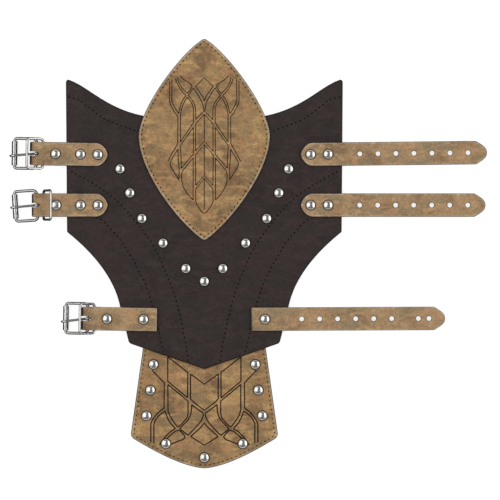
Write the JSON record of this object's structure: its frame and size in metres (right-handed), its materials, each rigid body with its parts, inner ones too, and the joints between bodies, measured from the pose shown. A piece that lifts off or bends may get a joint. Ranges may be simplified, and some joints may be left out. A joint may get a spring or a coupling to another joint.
{
  "type": "leather bracer",
  "caption": "Leather forearm bracer laid open: dark V-shaped panel, tan crest plate and hand guard, riveted straps with roller buckles and wire keepers.",
  "frame": {"origin": "on the centre line of the main panel at its inner face, 123.3 mm above its wrist point and 123.3 mm below its elbow corners", "axes": "+X across the panel towards the long punched straps, +Y along the forearm towards the elbow, +Z out of the outer face"},
  "size_m": [0.4057, 0.3649, 0.019],
  "materials": {
    "panel_leather": "waxed dark brown leather with a mottled, rubbed grain",
    "plate_leather": "tan vegetable-tanned leather, carved and rubbed",
    "strap_leather": "tan strap leather with creased, burnished edges",
    "rivet_nickel": "nickel-plated domed caps",
    "buckle_nickel": "nickel-plated wire and tube"
  },
  "bodies": {
    "panel": {"main_panel": "panel_leather", "crest_plate": "plate_leather", "hand_guard_root": "plate_leather", "long_strap_root_upper": "strap_leather", "long_strap_root_middle": "strap_leather", "long_strap_root_lower": "strap_leather", "buckle_strap_root_upper": "strap_leather", "buckle_strap_root_middle": "strap_leather", "buckle_strap_root_lower": "strap_leather", "v_row_rivet_caps": "rivet_nickel", "v_row_rivet_posts": "rivet_nickel", "long_strap_rivet_caps": "rivet_nickel", "long_strap_rivet_posts": "rivet_nickel", "buckle_strap_rivet_caps": "rivet_nickel", "buckle_strap_rivet_posts": "rivet_nickel", "guard_root_rivet_caps": "rivet_nickel", "guard_root_rivet_posts": "rivet_nickel"},
    "guard_leaf": {"hand_guard_leaf": "plate_leather", "guard_leaf_rivet_caps": "rivet_nickel", "guard_leaf_rivet_posts": "rivet_nickel"},
    "long_tail_upper": {"long_strap_tail_upper": "strap_leather"},
    "fold_upper": {"buckle_strap_fold_upper": "strap_leather", "fold_rivet_cap_upper": "rivet_nickel", "fold_rivet_post_upper": "rivet_nickel"},
    "frame_upper": {"buckle_frame_upper": "buckle_nickel"},
    "roller_upper": {"buckle_roller_upper": "buckle_nickel"},
    "tongue_upper": {"buckle_tongue_upper": "buckle_nickel"},
    "keeper_upper": {"keeper_loop_upper": "buckle_nickel"},
    "long_tail_middle": {"long_strap_tail_middle": "strap_leather"},
    "fold_middle": {"buckle_strap_fold_middle": "strap_leather", "fold_rivet_cap_middle": "rivet_nickel", "fold_rivet_post_middle": "rivet_nickel"},
    "frame_middle": {"buckle_frame_middle": "buckle_nickel"},
    "roller_middle": {"buckle_roller_middle": "buckle_nickel"},
    "tongue_middle": {"buckle_tongue_middle": "buckle_nickel"},
    "keeper_middle": {"keeper_loop_middle": "buckle_nickel"},
    "long_tail_lower": {"long_strap_tail_lower": "strap_leather"},
    "fold_lower": {"buckle_strap_fold_lower": "strap_leather", "fold_rivet_cap_lower": "rivet_nickel", "fold_rivet_post_lower": "rivet_nickel"},
    "frame_lower": {"buckle_frame_lower": "buckle_nickel"},
    "roller_lower": {"buckle_roller_lower": "buckle_nickel"},
    "tongue_lower": {"buckle_tongue_lower": "buckle_nickel"},
    "keeper_lower": {"keeper_loop_lower": "buckle_nickel"}
  },
  "joints": [
    {"name": "guard_bend", "type": "hinge", "parent": "panel", "child": "guard_leaf", "pos_m": [0, -0.125, -0.001], "axis": [-1, 0, 0], "range_deg": [-35, 45]},
    {"name": "long_strap_bend_upper", "type": "hinge", "parent": "panel", "child": "long_tail_upper", "pos_m": [0.1193, 0.0594, 0.0033], "axis": [0.0105, -0.9999, 0], "range_deg": [-90, 60]},
    {"name": "buckle_strap_bend_upper", "type": "hinge", "parent": "panel", "child": "fold_upper", "pos_m": [-0.1193, 0.0594, 0.0033], "axis": [0.0175, 0.9998, 0], "range_deg": [-60, 30]},
    {"name": "buckle_swing_upper", "type": "hinge", "parent": "fold_upper", "child": "frame_upper", "pos_m": [-0.1425, 0.0598, 0.0022], "axis": [0.0175, 0.9998, 0], "range_deg": [-60, 15]},
    {"name": "roller_spin_upper", "type": "hinge", "parent": "frame_upper", "child": "roller_upper", "pos_m": [-0.16135, 0.06013, -0.0001], "axis": [0.0175, 0.9998, 0], "continuous": true},
    {"name": "tongue_lift_upper", "type": "hinge", "parent": "frame_upper", "child": "tongue_upper", "pos_m": [-0.1425, 0.0598, 0.0022], "axis": [0.0175, 0.9998, 0], "range_deg": [0, 65]},
    {"name": "keeper_swing_upper", "type": "hinge", "parent": "fold_upper", "child": "keeper_upper", "pos_m": [-0.1371, 0.05971, 0.0022], "axis": [0.0175, 0.9998, 0], "range_deg": [0, 124]},
    {"name": "long_strap_bend_middle", "type": "hinge", "parent": "panel", "child": "long_tail_middle", "pos_m": [0.1193, 0.016, 0.0033], "axis": [0, -1, 0], "range_deg": [-90, 60]},
    {"name": "buckle_strap_bend_middle", "type": "hinge", "parent": "panel", "child": "fold_middle", "pos_m": [-0.1193, 0.016, 0.0033], "axis": [0, 1, 0], "range_deg": [-60, 30]},
    {"name": "buckle_swing_middle", "type": "hinge", "parent": "fold_middle", "child": "frame_middle", "pos_m": [-0.1419, 0.016, 0.0022], "axis": [-0.061, 0.9981, 0], "range_deg": [-60, 15]},
    {"name": "roller_spin_middle", "type": "hinge", "parent": "frame_middle", "child": "roller_middle", "pos_m": [-0.16073, 0.01485, -0.0001], "axis": [-0.061, 0.9981, 0], "continuous": true},
    {"name": "tongue_lift_middle", "type": "hinge", "parent": "frame_middle", "child": "tongue_middle", "pos_m": [-0.1419, 0.016, 0.0022], "axis": [-0.061, 0.9981, 0], "range_deg": [0, 65]},
    {"name": "keeper_swing_middle", "type": "hinge", "parent": "fold_middle", "child": "keeper_middle", "pos_m": [-0.1365, 0.016, 0.0022], "axis": [0, 1, 0], "range_deg": [-92, 31]},
    {"name": "long_strap_bend_lower", "type": "hinge", "parent": "panel", "child": "long_tail_lower", "pos_m": [0.07303, -0.0807, 0.0033], "axis": [0.0044, -1, 0], "range_deg": [-90, 60]},
    {"name": "buckle_strap_bend_lower", "type": "hinge", "parent": "panel", "child": "fold_lower", "pos_m": [-0.07303, -0.0807, 0.0033], "axis": [0.0175, 0.9998, 0], "range_deg": [-60, 30]},
    {"name": "buckle_swing_lower", "type": "hinge", "parent": "fold_lower", "child": "frame_lower", "pos_m": [-0.09883, -0.08025, 0.0022], "axis": [0.0175, 0.9998, 0], "range_deg": [-60, 15]},
    {"name": "roller_spin_lower", "type": "hinge", "parent": "frame_lower", "child": "roller_lower", "pos_m": [-0.11768, -0.07992, -0.0001], "axis": [0.0175, 0.9998, 0], "continuous": true},
    {"name": "tongue_lift_lower", "type": "hinge", "parent": "frame_lower", "child": "tongue_lower", "pos_m": [-0.09883, -0.08025, 0.0022], "axis": [0.0175, 0.9998, 0], "range_deg": [0, 65]},
    {"name": "keeper_swing_lower", "type": "hinge", "parent": "fold_lower", "child": "keeper_lower", "pos_m": [-0.09343, -0.08034, 0.0022], "axis": [0.0175, 0.9998, 0], "range_deg": [0, 113]}
  ],
  "couplings": [
    {"joint": "keeper_swing_upper", "follows": "tongue_lift_upper", "ratio": 1.9},
    {"joint": "keeper_swing_lower", "follows": "tongue_lift_lower", "ratio": 1.73}
  ]
}
